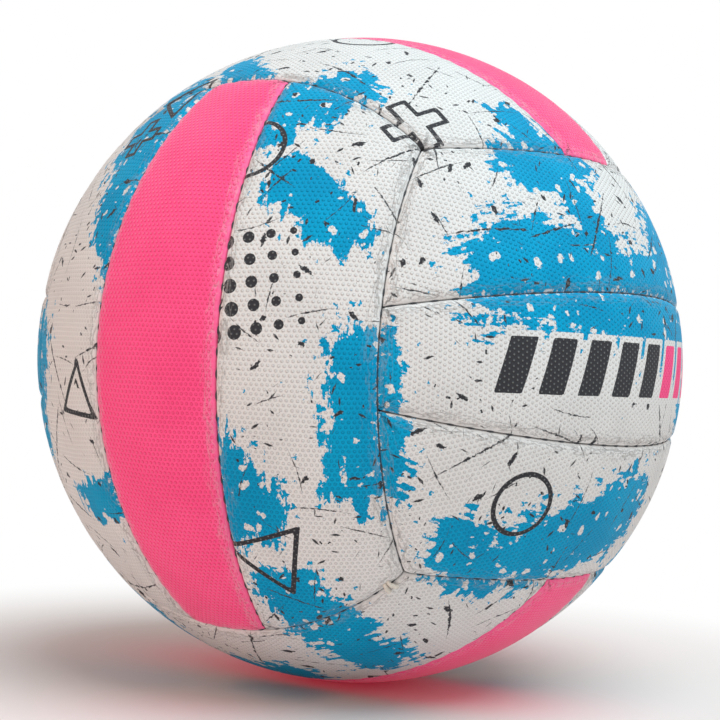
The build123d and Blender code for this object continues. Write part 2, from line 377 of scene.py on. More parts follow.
# %% Group frames
GROUPS = {
    "top": ((1, 0, 0), (0, 0, 1)), "bottom": ((1, 0, 0), (0, 0, -1)),
    "front": ((0, 0, 1), (0, -1, 0)), "back": ((0, 0, 1), (0, 1, 0)),
    "right": ((0, 1, 0), (1, 0, 0)), "left": ((0, 1, 0), (-1, 0, 0)),
}
PLAIN_GROUPS = ("top", "bottom", "front", "back")
HALF_TURN = np.diag([-1.0, -1.0, 1.0])


def strip_frame(group, strip):
    """Columns are the strip's own X, Y and outward Z in the ball's frame."""
    run, out = (np.array(v, dtype=float) for v in GROUPS[group])
    turn = np.column_stack([run, np.cross(out, run), out])
    return turn @ HALF_TURN if strip == "first" else turn


strips = [(g, s) for g in GROUPS for s in ("first", "middle", "last")]
print(len(strips), "strips")

# %% [markdown]
# What is printed where.
# The white panels carry a loose paint print: blue brush strokes with ragged ends, dark scratches, and a few
# open shapes drawn in a dark line. The strokes and shapes cross many faces of the mesh, so they are worked
# out here for each point as a number that is positive inside the ink. The material then adds the ragged
# edge. A signed distance stays sharp between grid points, where a painted colour would blur.

# %% Blue strokes
INK_SEED = 41
STROKE_COUNT, STROKE_SCATTER = 38, 0.12  # and how far off the spiral, as a share of the ball's radius
HALF_LENGTHS, HALF_WIDTHS = (6, 30), (5.5, 14.5)  # mm, least and most
WIDE_STROKES = [  # azimuth and elevation of both ends, and half the width in mm
    ((60, 14), (128, 3), 19.0), ((70, -30), (92, -24), 15.0), ((28, 48), (12, 40), 12.0),
]
rng = np.random.default_rng(INK_SEED)


def place(azimuth, elevation):
    """Unit vector at an azimuth from -Y towards +X and an elevation, in degrees."""
    a, e = np.radians(azimuth), np.radians(elevation)
    return np.array([np.sin(a) * np.cos(e), -np.cos(a) * np.cos(e), np.sin(e)])


def stroke_field(points, start, end, half_width):
    """1 on the line of a stroke, 0 at its edge and below 0 outside: one less the distance over the half
    width. The distance is to the great circle through the ends, or to an end where the point lies past
    it."""
    normal = np.cross(start, end)
    span = np.arctan2(np.linalg.norm(normal), start @ end)
    normal = to_unit(normal)
    ahead = np.cross(normal, start)
    reach = np.arctan2(points @ ahead, points @ start)
    off = np.abs(np.arcsin(np.clip(points @ normal, -1, 1)))
    to_ends = np.minimum(angle_to(points, start), angle_to(points, end))
    distance = np.where((reach > 0) & (reach < span), off, to_ends) * BALL_RADIUS
    return 1 - distance / half_width


def scatter_strokes(count):
    """Strokes spread evenly over the ball on a golden-angle spiral, each with its own slant, length and
    width."""
    turn = np.arange(count) * np.pi * (3 - np.sqrt(5))
    height = 1 - 2 * (np.arange(count) + 0.5) / count
    spread = np.sqrt(1 - height**2)
    middles = np.column_stack([spread * np.cos(turn), spread * np.sin(turn), height])
    middles += rng.normal(0, STROKE_SCATTER, middles.shape)
    middles = to_unit(middles)
    slant = rng.normal(0, 1, middles.shape)
    slant = to_unit(slant - middles * (slant * middles).sum(axis=1)[:, None])
    half = rng.uniform(*HALF_LENGTHS, count)[:, None] / BALL_RADIUS
    widths = rng.uniform(*HALF_WIDTHS, count)
    starts = middles * np.cos(half) - slant * np.sin(half)
    ends = middles * np.cos(half) + slant * np.sin(half)
    return list(zip(starts, ends, widths))


BLUE_STROKES = scatter_strokes(STROKE_COUNT)
BLUE_STROKES += [(place(*start), place(*end), half) for start, end, half in WIDE_STROKES]
print(len(BLUE_STROKES), "blue strokes")

# %% Open shapes in a dark line
LINE_HALF = 0.85  # mm
TRIANGLE_SHARE, CROSS_SHARE = 0.6, 0.3  # of a shape's size: a triangle's inner radius, half a cross's bar
SHAPE_FACING = 0.5  # cosine of the angle from a shape's middle past which it isn't drawn
SHAPES = [  # kind, azimuth, elevation, size in mm, turn in degrees
    ("ring", 12, 34, 11, 0), ("triangle", 20, -33, 12, 20), ("cross", 44, 40, 10, 30),
    ("ring", 64, -22, 10, 0), ("triangle", -18, -8, 9, 55), ("cross", -22, 38, 8, 10),
    ("ring", 118, 26, 11, 0), ("triangle", 150, -28, 12, 0), ("cross", 205, 30, 10, 45),
    ("ring", 222, -30, 11, 0), ("triangle", 262, 28, 12, 70), ("cross", 285, -26, 10, 15),
    ("ring", 310, 22, 9, 0), ("triangle", 340, 48, 10, 30), ("ring", 30, 72, 10, 0),
    ("triangle", 60, -72, 10, 0),
]


def flat_at(points, middle, turn):
    """Flat coordinates in mm on the plane that touches the ball at middle, and which points are on that
    side."""
    across = to_unit(np.cross((0, 0, 1), middle))
    up = np.cross(middle, across)
    facing = points @ middle
    shown = facing > SHAPE_FACING
    scale = BALL_RADIUS / np.where(shown, facing, 1)
    x, y = (points @ across) * scale, (points @ up) * scale
    c, s = np.cos(np.radians(turn)), np.sin(np.radians(turn))
    return x * c + y * s, y * c - x * s, shown


def shape_field(kind, x, y, size):
    """Signed distance of a ring, an equal-sided triangle or a cross drawn as an outline: half the line's
    width less the distance from the outline."""
    if kind == "ring":
        off = np.hypot(x, y) - size
    elif kind == "triangle":
        sides = [x * np.cos(a) + y * np.sin(a) for a in np.radians((90, 210, 330))]
        off = np.maximum.reduce(sides) - size * TRIANGLE_SHARE
    else:
        bar = CROSS_SHARE * size
        across = np.maximum(np.abs(x) - size, np.abs(y) - bar)
        off = np.minimum(across, np.maximum(np.abs(x) - bar, np.abs(y) - size))
    return LINE_HALF - np.abs(off)


print(len(SHAPES), "outlined shapes")

# %% Screens of dots and slanted bars
NO_INK = -9.0  # mm, well outside any ink
DOT_SCREENS = [(14, 10, 12), (150, 22, 40), (255, -18, -30)]  # azimuth, elevation, turn
DOT_PITCH, DOT_RADIUS, DOT_SHRINK = 7.0, 2.3, 0.35  # mm: the shrink is for each column to the right
DOT_LEAST, DOT_MOST = 0.6, 2.9  # mm, radius
DOT_COLUMNS, DOT_ROWS = 3, 2  # each way from the middle
BAR_SLANT, BAR_PITCH, BAR_WIDTH, BAR_HEIGHT = 0.3, 15.0, 9.5, 17.0
DARK_BARS, PINK_BARS = (-4, 0), (1, 3)  # first and last, counted from the middle of the strip
BAR_MARGIN, SHAPE_MARGIN = 1.8, 3.0  # mm round the bars without scratches, and more without shapes


def dot_screen_field(x, y):
    """Discs on a square grid, smaller from left to right: the disc's radius less the distance to its
    middle, in a block of seven by five."""
    column, row = np.round(x / DOT_PITCH), np.round(y / DOT_PITCH)
    radius = np.clip(DOT_RADIUS - DOT_SHRINK * column, DOT_LEAST, DOT_MOST)
    inside = (np.abs(column) <= DOT_COLUMNS) & (np.abs(row) <= DOT_ROWS)
    return np.where(inside, radius - np.hypot(x - column * DOT_PITCH, y - row * DOT_PITCH), NO_INK)


def bar_field(x, y, first, last):
    """Signed distance into slanted bars set side by side along a strip, from the first number to the last."""
    x = x - BAR_SLANT * y
    number = np.round(x / BAR_PITCH)
    off = np.maximum(np.abs(x - number * BAR_PITCH) - BAR_WIDTH / 2, np.abs(y) - BAR_HEIGHT / 2)
    return np.where((number >= first) & (number <= last), -off, NO_INK)


def print_fields(points, x, y, bars):
    """The ink numbers at each point: blue strokes, dark shapes, pink bars, and the clear margin around
    bars. Where inks of one colour meet, the greater number holds."""
    blue = np.max([stroke_field(points, *stroke) for stroke in BLUE_STROKES], axis=0)
    dark, pink, clear = (np.full(len(points), NO_INK) for _ in range(3))
    for kind, azimuth, elevation, size, turn in SHAPES:
        u, v, shown = flat_at(points, place(azimuth, elevation), turn)
        dark = np.where(shown, np.maximum(dark, shape_field(kind, u, v, size)), dark)
    for azimuth, elevation, turn in DOT_SCREENS:
        u, v, shown = flat_at(points, place(azimuth, elevation), turn)
        dark = np.where(shown, np.maximum(dark, dot_screen_field(u, v)), dark)
    if bars:
        dark_bars, pink = bar_field(x, y, *DARK_BARS), bar_field(x, y, *PINK_BARS)
        clear = np.maximum(dark_bars, pink) + BAR_MARGIN
        dark = np.where(clear > -SHAPE_MARGIN, dark_bars, np.maximum(dark, dark_bars))
    return {"blue_ink": blue, "dark_ink": dark, "pink_ink": pink, "clear": clear}


bar_count = PINK_BARS[1] - DARK_BARS[0] + 1
print(len(DOT_SCREENS), "screens of dots and", bar_count, "bars along", bar_count * BAR_PITCH, "mm")

# %% [markdown]
# Writing shader maths as Python.
# A material is a graph of nodes, and a formula in it soon takes dozens of them. A small class holds a
# node's output and turns +, -, * and / into Math nodes, so that a formula reads as one line. Colours and
# vectors need Mix and Vector Math instead, and those, like any texture, come from one method.

# %% Wires
def operator(operation, swap=False):
    """A method that adds a Math node on a wire and another value, or the other way round for 1 - wire."""
    def method(self, other):
        return self.math(operation, other, self) if swap else self.math(operation, self, other)
    return method


class Wire:
    """An output in a graph of nodes, on which arithmetic adds Math nodes."""

    def __init__(self, graph, socket):
        self.graph, self.socket = graph, socket

    def math(self, operation, *values):
        """A Math node on wires or numbers."""
        return self.graph.node("ShaderNodeMath", {"operation": operation}, dict(enumerate(values)))

    __add__, __radd__ = operator("ADD"), operator("ADD", swap=True)
    __sub__, __rsub__ = operator("SUBTRACT"), operator("SUBTRACT", swap=True)
    __mul__, __rmul__ = operator("MULTIPLY"), operator("MULTIPLY", swap=True)
    __truediv__, __rtruediv__ = operator("DIVIDE"), operator("DIVIDE", swap=True)

    def __abs__(self):
        return self.math("ABSOLUTE", self)

    def sine(self):
        return self.math("SINE", self)

    def cosine(self):
        return self.math("COSINE", self)

    def most(self, other):
        return self.math("MAXIMUM", self, other)

    def step(self, low, high):
        """0 below low, 1 above high and a smooth rise between."""
        settings = {"interpolation_type": "SMOOTHSTEP"}
        return self.graph.node("ShaderNodeMapRange", settings, {0: self, 1: low, 2: high})

    def beside(self, output):
        """Another output of the same node."""
        return Wire(self.graph, self.socket.node.outputs[output])


print("wires ready")

# %% Graphs and finishes
class Graph:
    """The nodes of one material or of the surround."""

    def __init__(self, tree):
        self.tree = tree

    def plug(self, socket, value):
        """Links a wire to a socket, or sets the socket's own value."""
        if isinstance(value, Wire):
            self.tree.links.new(value.socket, socket)
        elif isinstance(value, tuple) and len(value) == 3 and socket.type == "RGBA":
            socket.default_value = (*value, 1)
        else:
            socket.default_value = value

    def node(self, kind, settings, sockets, output=0):
        """Adds a node, gives it its settings and then its sockets, and holds one of its outputs."""
        node = self.tree.nodes.new(kind)
        for name, value in settings.items():
            setattr(node, name, value)
        for key, value in sockets.items():
            self.plug(node.inputs[key], value)
        return Wire(self, node.outputs[output])

    def number(self, name):
        """One of the mesh's own numbers."""
        return self.node("ShaderNodeAttribute", {"attribute_name": name}, {}, "Fac")

    def object_place(self):
        """The place in metres, in the ball's frame."""
        return self.node("ShaderNodeTexCoord", {}, {}, "Object")

    def vector(self, operation, *values):
        return self.node("ShaderNodeVectorMath", {"operation": operation}, dict(enumerate(values)))

    def parts(self, vector):
        """The three numbers of a vector or a colour."""
        first = self.node("ShaderNodeSeparateXYZ", {}, {0: vector})
        return [first, first.beside(1), first.beside(2)]

    def join(self, x, y, z):
        return self.node("ShaderNodeCombineXYZ", {}, {0: x, 1: y, 2: z})

    def mix(self, first, second, factor):
        """A colour: the first where the factor is 0, the second where it is 1."""
        return self.node("ShaderNodeMix", {"data_type": "RGBA"}, {0: factor, 6: first, 7: second}, 2)

    def noise(self, vector, scale, detail, rough, output=0):
        sockets = {"Vector": vector, "Scale": scale, "Detail": detail, "Roughness": rough}
        return self.node("ShaderNodeTexNoise", {}, sockets, output)

    def bump(self, height, strength, distance):
        return self.node("ShaderNodeBump", {}, {"Height": height, "Strength": strength, "Distance": distance})

    def seen_white(self):
        """1 for what the camera sees, straight or in a reflection, and 0 for light that falls on the ball."""
        ray = self.node("ShaderNodeLightPath", {}, {}, "Is Camera Ray")
        return ray.most(ray.beside("Is Glossy Ray")).most(ray.beside("Is Transmission Ray"))

    def show(self, output, first, second, factor):
        """Puts a mix of two shaders on the graph's output."""
        mixed = self.node("ShaderNodeMixShader", {}, {0: factor, 1: first, 2: second})
        self.plug(self.tree.nodes[output].inputs["Surface"], mixed)


class Finish(Graph):
    """One material: a Principled shader, its fixed values, and the nodes that feed it."""

    def __init__(self, name, fixed):
        self.material = bpy.data.materials.new(name)
        self.material.use_nodes = True
        super().__init__(self.material.node_tree)
        self.shader = self.tree.nodes["Principled BSDF"]
        for socket, value in fixed.items():
            self.plug(self.shader.inputs[socket], value)

    def shade(self, **wires):
        """Feeds wires to the shader's sockets, written with _ for a space, and gives the material."""
        for name, wire in wires.items():
            self.plug(self.shader.inputs[name.replace("_", " ")], wire)
        return self.material


print("shader helpers ready")

# %% [markdown]
# The grip of the sheet.
# The cover is a soft rubber sheet pressed with small round pimples in staggered rows, under 2 mm apart.
# Three cosine waves at 60 degrees to each other, added up, peak on exactly that lattice. It is a bump and
# not geometry, because a true pimple would need dozens of faces and there are tens of thousands. Each strip
# is cut from a flat sheet, so the pattern follows the strip's own map, which is in millimetres. Near a seam
# the pimples are pulled flat and the sheet creases, along the seam and across it. The ring round the
# foot of each pimple is kept for the colours, which darken it as painted shade.

# %% Relief of the sheet
PIMPLE_PITCH = 1.66  # mm
PIMPLE_WAVE = 4 * np.pi / (np.sqrt(3) * PIMPLE_PITCH)  # radians for each mm
ROW_WANDER = (0.9, 0.9, 0.0)  # mm by which the rows of pimples wander
RUCK_HEIGHT, PIMPLE_HEIGHT, CREASE_DEPTH, GRAIN_HEIGHT = 0.6, 0.26, 0.12, 0.06  # mm
MM = 0.001  # a bump's distance, in metres, for a height in mm


def lattice(x, y):
    """From 0 to 1, a peak on each point of a staggered lattice: the sum of three cosines at 60 degrees,
    which lies between -1.5 and 3."""
    slope = y * (PIMPLE_WAVE * np.sqrt(3) / 2)
    half = x * (PIMPLE_WAVE / 2)
    waves = (x * PIMPLE_WAVE).cosine() + (half + slope).cosine() + (half - slope).cosine()
    return waves * (1 / 4.5) + 1 / 3


def hairline(noise, sharpness):
    """1 on the lines where noise crosses its middle, falling to 0 beside them."""
    return 1 - (abs(noise - 0.5) * sharpness).step(0.0, 1.0)


def seam_noise(finish, edge, run, off, along, detail=2.0, rough=0.5):
    """Noise that follows the seam, of its own on each panel: off and along are how much of it passes in 1
    mm."""
    return finish.noise(finish.join(edge * off, run * along, finish.number("panel")), 1.0, detail, rough)


def sheet_relief(finish):
    """The strip's map, the height of the surface in mm, the pimples, their feet and the creases from 0 to
    1, and the distance from the seam. Creases, and finer cracks beside them, are the hairlines of noise
    that is stretched along the seam, and rucks are noise stretched away from it."""
    strip = finish.node("ShaderNodeUVMap", {"uv_map": "strip"}, {})
    drift = finish.noise(strip, 0.05, 2.0, 0.5, 1)
    x, y, _ = finish.parts(finish.vector("MULTIPLY_ADD", drift, ROW_WANDER, strip))
    edge, run = finish.number("edge"), finish.number("run")
    inside = edge.step(0.4, 2.0)
    peaks = lattice(x, y)
    pimple = peaks.step(0.3, 1.0) * inside
    # the ring round each pimple's foot, where the colours paint shade
    foot = peaks.step(0.15, 0.55) * (1 - peaks.step(0.6, 1.0)) * inside
    crease = hairline(seam_noise(finish, edge, run, 0.34, 0.06), 34) * (1 - edge.step(2.0, 6.0))
    crack = hairline(seam_noise(finish, edge, run, 0.75, 0.24), 16) * (1 - edge.step(1.5, 4.2))
    crease = crease.most(crack * 0.8) * edge.step(0.3, 1.0)
    ruck = (seam_noise(finish, edge, run, 0.16, 0.5, 3.0, 0.55) - 0.5) * (1 - edge.step(1.0, 6.5))
    grain = finish.noise(strip, 2.6, 3.0, 0.6) - 0.5
    height = ruck * RUCK_HEIGHT + pimple * PIMPLE_HEIGHT - crease * CREASE_DEPTH + grain * GRAIN_HEIGHT
    return strip, height, pimple, foot, crease, edge


pimple_area = PIMPLE_PITCH**2 * np.sqrt(3) / 2
print("about", int(4 * np.pi * BALL_RADIUS**2 / pimple_area), "pimples on the ball")

# %% [markdown]
# The plain pink strips.
# Four middle strips are one flat bright pink. On the real sheet the colour is a thin coat over a pale base,
# so it pales where the sheet is folded over the edge, and the crease lines there show as fine grey-white
# hairs. The pigment is a fluorescent one, brighter in red than the light that falls on it, so it gives off
# a little itself. A base colour cannot be brighter than 1, so a little emission, the same all over, gives
# the rest; it is a painted glow, which also lights the pink where it lies in shade. Sheen adds the soft bloom
# that pimples show where the strip turns away.

# %% Pink finish
PINK = (1.0, 0.095, 0.285)
PINK_CLOUD = (0.95, 0.08, 0.258)
# painted shade round the foot of each pimple, on pink
PINK_FOOT_SHADE = (0.74, 0.042, 0.152)
PINK_PALE = (0.96, 0.24, 0.45)
PINK_CREASE = (0.62, 0.42, 0.46)
# painted shade and dirt down in the seam
PINK_SEAM_SHADE_AND_DIRT = (0.30, 0.05, 0.09)
# painted glow: an even emission that also lights the pink where it lies in shade
PINK_GLOW = {"Emission Color": (1.0, 0.05, 0.16), "Emission Strength": 0.12}
PINK_BLOOM = {"Sheen Weight": 0.3, "Sheen Roughness": 0.4}


def pink_finish():
    """Pink that is clouded by noise, paler near the seam, with painted shade round the pimples, grey on the
    creases, and darkened in the seam itself by painted shade and dirt."""
    finish = Finish("cover_pink", {"IOR": 1.4, "Specular IOR Level": 0.2, **PINK_GLOW, **PINK_BLOOM})
    strip, height, _, foot, crease, edge = sheet_relief(finish)
    cloud = finish.noise(strip, 0.06, 3.0, 0.5)
    colour = finish.mix(PINK, PINK_CLOUD, cloud.step(0.35, 0.7))
    colour = finish.mix(colour, PINK_PALE, (1 - (edge + cloud * 3).step(2.0, 6.5)) * 0.4)
    # painted shade round the foot of each pimple
    colour = finish.mix(colour, PINK_FOOT_SHADE, foot * 0.8)
    colour = finish.mix(colour, PINK_CREASE, crease * 0.45)
    # painted shade and dirt down in the seam
    colour = finish.mix(colour, PINK_SEAM_SHADE_AND_DIRT, (1 - edge.step(0.0, 0.5)) * 0.5)
    rough = 0.5 + cloud * 0.12
    return finish.shade(Base_Color=colour, Roughness=rough, Normal=finish.bump(height, 1.0, MM))


pink_material = pink_finish()
print("pink nodes", len(pink_material.node_tree.nodes))

# %% [markdown]
# The printed strips.
# The print is thin ink on a white sheet. A stroke's own number says how deep inside the ink a point is, and
# noise added to it before the cut gives torn edges, streaks of dry brush and stray drops. The dark
# scratches are short strokes, slightly bent, one in each of many cells of a Voronoi pattern, turned by the
# cell's random colour. Ink rubs off along the edges of a panel, where a ball is handled most. A painted
# picture could hold all this, but it would have to be very large to stay as sharp as these formulas.

# %% Ticks and drops
FULL_TURN = 2 * np.pi
SHORTEST = 0.35  # of the full length of a tick
TICK_SOFT = (-0.12, 0.16)  # mm over which a tick's edge goes from bare to inked
DROP_SOFT = 0.04  # of a cell, the same for a drop


def cells(finish, strip, pitch, shift):
    """A Voronoi pattern of pitch mm: the place from each cell's middle, the distance to it, and three
    random numbers for each cell."""
    spot = finish.vector("MULTIPLY_ADD", strip, (1 / pitch, 1 / pitch, 0.0), (shift, shift * 0.7, 0.0))
    sockets = {"Vector": spot, "Scale": 1.0}
    distance = finish.node("ShaderNodeTexVoronoi", {"voronoi_dimensions": "2D"}, sockets)
    x, y, _ = finish.parts(finish.vector("SUBTRACT", spot, distance.beside("Position")))
    return x, y, distance, finish.parts(distance.beside("Color"))


def picked(chance, share):
    """1 in the share of the cells whose random number is low, 0 in the others."""
    return (share - chance).step(0.0, 0.0001)


def ticks(finish, strip, pitch, length, width, share, bow, shift, press=1.0):
    """1 on ticks: in each cell one line at a random angle, bent by a square of the way along it, and
    tapering to both ends by another."""
    x, y, _, (turn, chance, size) = cells(finish, strip, pitch, shift)
    cosine, sine = (turn * FULL_TURN).cosine(), (turn * FULL_TURN).sine()
    ahead = x * cosine + y * sine
    far = abs(ahead) / ((size * (1 - SHORTEST) + SHORTEST) * (length / pitch))
    aside = abs(y * cosine - x * sine + ahead * ahead * (chance - share / 2) * (bow / share))
    thick = (1 - far * far) * (press * (width / pitch))
    return (thick - aside).step(TICK_SOFT[0] / pitch, TICK_SOFT[1] / pitch) * picked(chance, share)


def drops(finish, strip, pitch, radius, share, points, depth, shift, grow):
    """1 on drops of all sizes up to radius mm, in a share of the cells. A cosine of the angle gives them
    points, and grow makes them smaller from place to place."""
    x, y, distance, (size, chance, twist) = cells(finish, strip, pitch, shift)
    lobes = (y.math("ARCTAN2", y, x) * points + twist * FULL_TURN).cosine() * depth + 1
    reach = size * size * lobes * (radius / pitch) * grow
    return (reach - distance).step(0.0, DROP_SOFT) * picked(chance, share)


print("ticks and drops ready")

# %% Inks
BLOT_SHAKE, HAND_SHAKE = (2.4, 2.4, 0.0), (0.7, 0.7, 0.0)  # mm by which noise moves a blot or a drawn line
BRUSH_SLANT, BRUSH_STRETCH = (0, 0, 0.7), (0.05, 0.45, 1)


def torn_edges(finish, strip):
    """Noise that tears the edge of an ink, and the strip's map as noise shakes it for blots and for drawn
    lines."""
    tear = finish.noise(strip, 0.13, 7.0, 0.66) - 0.5
    shake = finish.vector("SUBTRACT", finish.noise(strip, 0.55, 2.0, 0.6, 1), (0.5, 0.5, 0.5))
    blot = finish.vector("MULTIPLY_ADD", shake, BLOT_SHAKE, strip)
    return tear, blot, finish.vector("MULTIPLY_ADD", shake, HAND_SHAKE, strip)


def blue_ink(finish, strip, tear, blot):
    """1 where the strokes' number, torn and streaked by noise, is over 0. Drops splash beyond it, and drops
    are spared inside it."""
    slant = {"Vector": strip, "Rotation": BRUSH_SLANT, "Scale": BRUSH_STRETCH}
    streak = finish.noise(finish.node("ShaderNodeMapping", {}, slant), 1.0, 4.0, 0.6) - 0.5
    field = finish.number("blue_ink") + tear * 2.8 + streak * 1.5
    splash = drops(finish, blot, 3.8, 1.5, 0.6, 3, 0.35, 2.3, (field + 0.9).step(0.0, 0.7))
    spared = drops(finish, blot, 4.8, 1.8, 0.55, 2, 0.25, 5.9, 1 - (field - 0.7).step(0.0, 0.6))
    return field.step(0.0, 0.05).most(splash) * (1 - spared)


def dark_ink(finish, strip, tear, blot, hand, clear):
    """1 on the shapes and bars, and outside the clear margin on ticks of four kinds and on specks. Noise
    presses the long ticks harder here and there, and crowds the short ones."""
    press = (finish.noise(strip, 0.5, 3.0, 0.6) - 0.36) * 5
    crowd = finish.noise(strip, 0.035, 2.0, 0.5).step(0.36, 0.6)
    strokes = ticks(finish, hand, 34.0, 22.0, 0.5, 0.55, 0.5, 4.4, press)
    hairs = ticks(finish, hand, 17.0, 14.0, 0.26, 0.65, 0.6, 7.7, press)
    sticks = ticks(finish, hand, 6.2, 1.9, 0.42, 0.5, 0.3, 3.1, crowd)
    flecks = ticks(finish, blot, 13.0, 2.8, 0.8, 0.4, 0.3, 1.3)
    specks = drops(finish, hand, 3.6, 0.7, 0.5, 2, 0.4, 8.2, crowd)
    marks = strokes.most(hairs).most(sticks).most(flecks).most(specks) * (1 - clear)
    return (finish.number("dark_ink") + tear * 0.5).step(0.0, 0.12).most(marks)


print("blue and dark inks ready")

# %% Printed finish
WHITE = (0.80, 0.79, 0.78)
WHITE_SHADE = (0.73, 0.72, 0.71)
# painted shade round the foot of each pimple, on the white sheet
WHITE_FOOT_SHADE = (0.42, 0.40, 0.39)
BLUE = (0.0, 0.37, 0.65)
BLUE_DEEP = (0.0, 0.315, 0.575)
# painted shade round the foot of each pimple, on blue ink
BLUE_FOOT_SHADE = (0.0, 0.19, 0.38)
CHARCOAL = (0.04, 0.04, 0.046)
# painted highlight: the glint of light on the pimple tops in dark ink
CHARCOAL_GLINT = (0.17, 0.175, 0.175)
# painted shade in the creases
CREASE_SHADE = (0.36, 0.345, 0.34)
# painted shade and dirt down in the seam
SEAM_SHADE_AND_DIRT = (0.18, 0.17, 0.17)


def printed_finish():
    """A white sheet, then blue, pink and dark ink, each where its number cuts in, and last painted shade in
    creases and painted shade with dirt in seams. Painted shade also rings the pimples' feet, and a painted
    glint lights the pimple tops in dark ink. Noise that grows towards the edge wears the inks away."""
    finish = Finish("cover_printed", {"IOR": 1.4, "Specular IOR Level": 0.14})
    strip, height, pimple, foot, crease, edge = sheet_relief(finish)
    tear, blot, hand = torn_edges(finish, strip)
    cloud = finish.noise(strip, 0.05, 3.0, 0.5)
    flake = finish.noise(strip, 0.5, 6.0, 0.72)
    worn = ((1.0 - edge) * 0.1 + flake - 0.57).step(0.0, 0.06) * (1 - edge.step(0.8, 3.5))
    clear = finish.number("clear").step(-0.05, 0.05)
    blue = blue_ink(finish, strip, tear, blot) * (1 - clear) * (1 - worn * 0.8)
    pink = (finish.number("pink_ink") + tear * 0.3).step(0.0, 0.12)
    dark = dark_ink(finish, strip, tear, blot, hand, clear) * (1 - worn * 0.85)
    paper = finish.mix(WHITE, WHITE_SHADE, cloud.step(0.4, 0.75) * 0.7)
    # painted shade round the pimples' feet on the white sheet
    paper = finish.mix(paper, WHITE_FOOT_SHADE, foot * 0.34)
    inked = finish.mix(BLUE, BLUE_DEEP, cloud.step(0.35, 0.65))
    # painted shade round the pimples' feet on blue ink
    inked = finish.mix(inked, BLUE_FOOT_SHADE, foot * 0.45)
    colour = finish.mix(paper, inked, blue)
    # pink ink, with painted shade round the pimples' feet
    colour = finish.mix(colour, finish.mix(PINK, PINK_FOOT_SHADE, foot * 0.5), pink)
    # dark ink, with a painted glint on the tops of its pimples
    colour = finish.mix(colour, finish.mix(CHARCOAL, CHARCOAL_GLINT, pimple * pimple * pimple), dark)
    # painted shade in the creases
    colour = finish.mix(colour, CREASE_SHADE, crease * (0.7 - blue * 0.4))
    # painted shade and dirt down in the seam
    colour = finish.mix(colour, SEAM_SHADE_AND_DIRT, (1 - edge.step(0.0, 0.5)) * 0.6)
    rough = 0.54 + cloud * 0.1 - blue * 0.05
    return finish.shade(Base_Color=colour, Roughness=rough, Normal=finish.bump(height, 1.0, MM))


printed_material = printed_finish()
print("printed nodes", len(printed_material.node_tree.nodes))

# %% [markdown]
# Making the panels.
# The two shapes of panel are turned into their eighteen places, and each gets its own numbers for the
# materials: how far a point is from the nearest seam, how far along that seam it is, and the ink. The
# strip's map is in millimetres along and across the sheet, with a shift so that no two panels carry the
# same noise. Blender's own unwrapping would give a map too, but turned and scaled in its own way on each
# panel.

# %% Meshes and maps
def make_mesh(name, points, quads, triangles=()):
    """A smooth mesh from points in mm and faces as index arrays."""
    triangles = np.array(triangles, dtype=np.int32).reshape(-1, 3)
    mesh = bpy.data.meshes.new(name)
    mesh.vertices.add(len(points))
    mesh.vertices.foreach_set("co", (points / 1000).astype(np.float32).ravel())
    corners = np.r_[quads.ravel(), triangles.ravel()].astype(np.int32)
    counts = np.r_[np.full(len(quads), 4), np.full(len(triangles), 3)].astype(np.int32)
    mesh.loops.add(len(corners))
    mesh.loops.foreach_set("vertex_index", corners)
    mesh.polygons.add(len(counts))
    mesh.polygons.foreach_set("loop_start", np.r_[0, np.cumsum(counts)[:-1]].astype(np.int32))
    mesh.polygons.foreach_set("use_smooth", np.ones(len(counts), dtype=bool))
    mesh.update(calc_edges=True)
    mesh.validate()
    return mesh


def strip_map(points, middle):
    """Millimetres along and across the flat strip: the angle along its middle line and the angle off that
    line. An outer strip is first turned back to the middle of its group."""
    x, y, z = points.T
    if not middle:
        c, s = np.cos(2 * MIDDLE_HALF), np.sin(2 * MIDDLE_HALF)
        y, z = y * c - z * s, y * s + z * c
    return BALL_RADIUS * np.arctan2(x, z), BALL_RADIUS * np.arcsin(np.clip(y, -1, 1))


def set_numbers(mesh, numbers):
    """Gives every point of a mesh its numbers, by name, for the materials to read."""
    for name, values in numbers.items():
        mesh.attributes.new(name, "FLOAT", "POINT").data.foreach_set("value", values.astype(np.float32))


def set_map(mesh, name, u, v):
    """A UV map from two numbers for each point, handed on to the corners of the faces."""
    corner = np.empty(len(mesh.loops), dtype=np.int32)
    mesh.loops.foreach_get("vertex_index", corner)
    layer = mesh.uv_layers.new(name=name)
    layer.data.foreach_set("uv", np.column_stack([u[corner], v[corner]]).astype(np.float32).ravel())


def add_piece(name, mesh, material, slot, *nodes):
    """Puts a mesh in the scene on the ball's one body, in place of the solids it stands for."""
    piece = bpy.data.objects.new(name, mesh)
    bpy.context.collection.objects.link(piece)
    mesh.materials.append(material)
    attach(piece, "root")
    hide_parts(*nodes)


x, y = strip_map(direction(along, across).reshape(-1, 3), False)
print("an outer strip is cut from", np.ptp(x).round(1), "by", np.ptp(y).round(1), "mm of sheet")

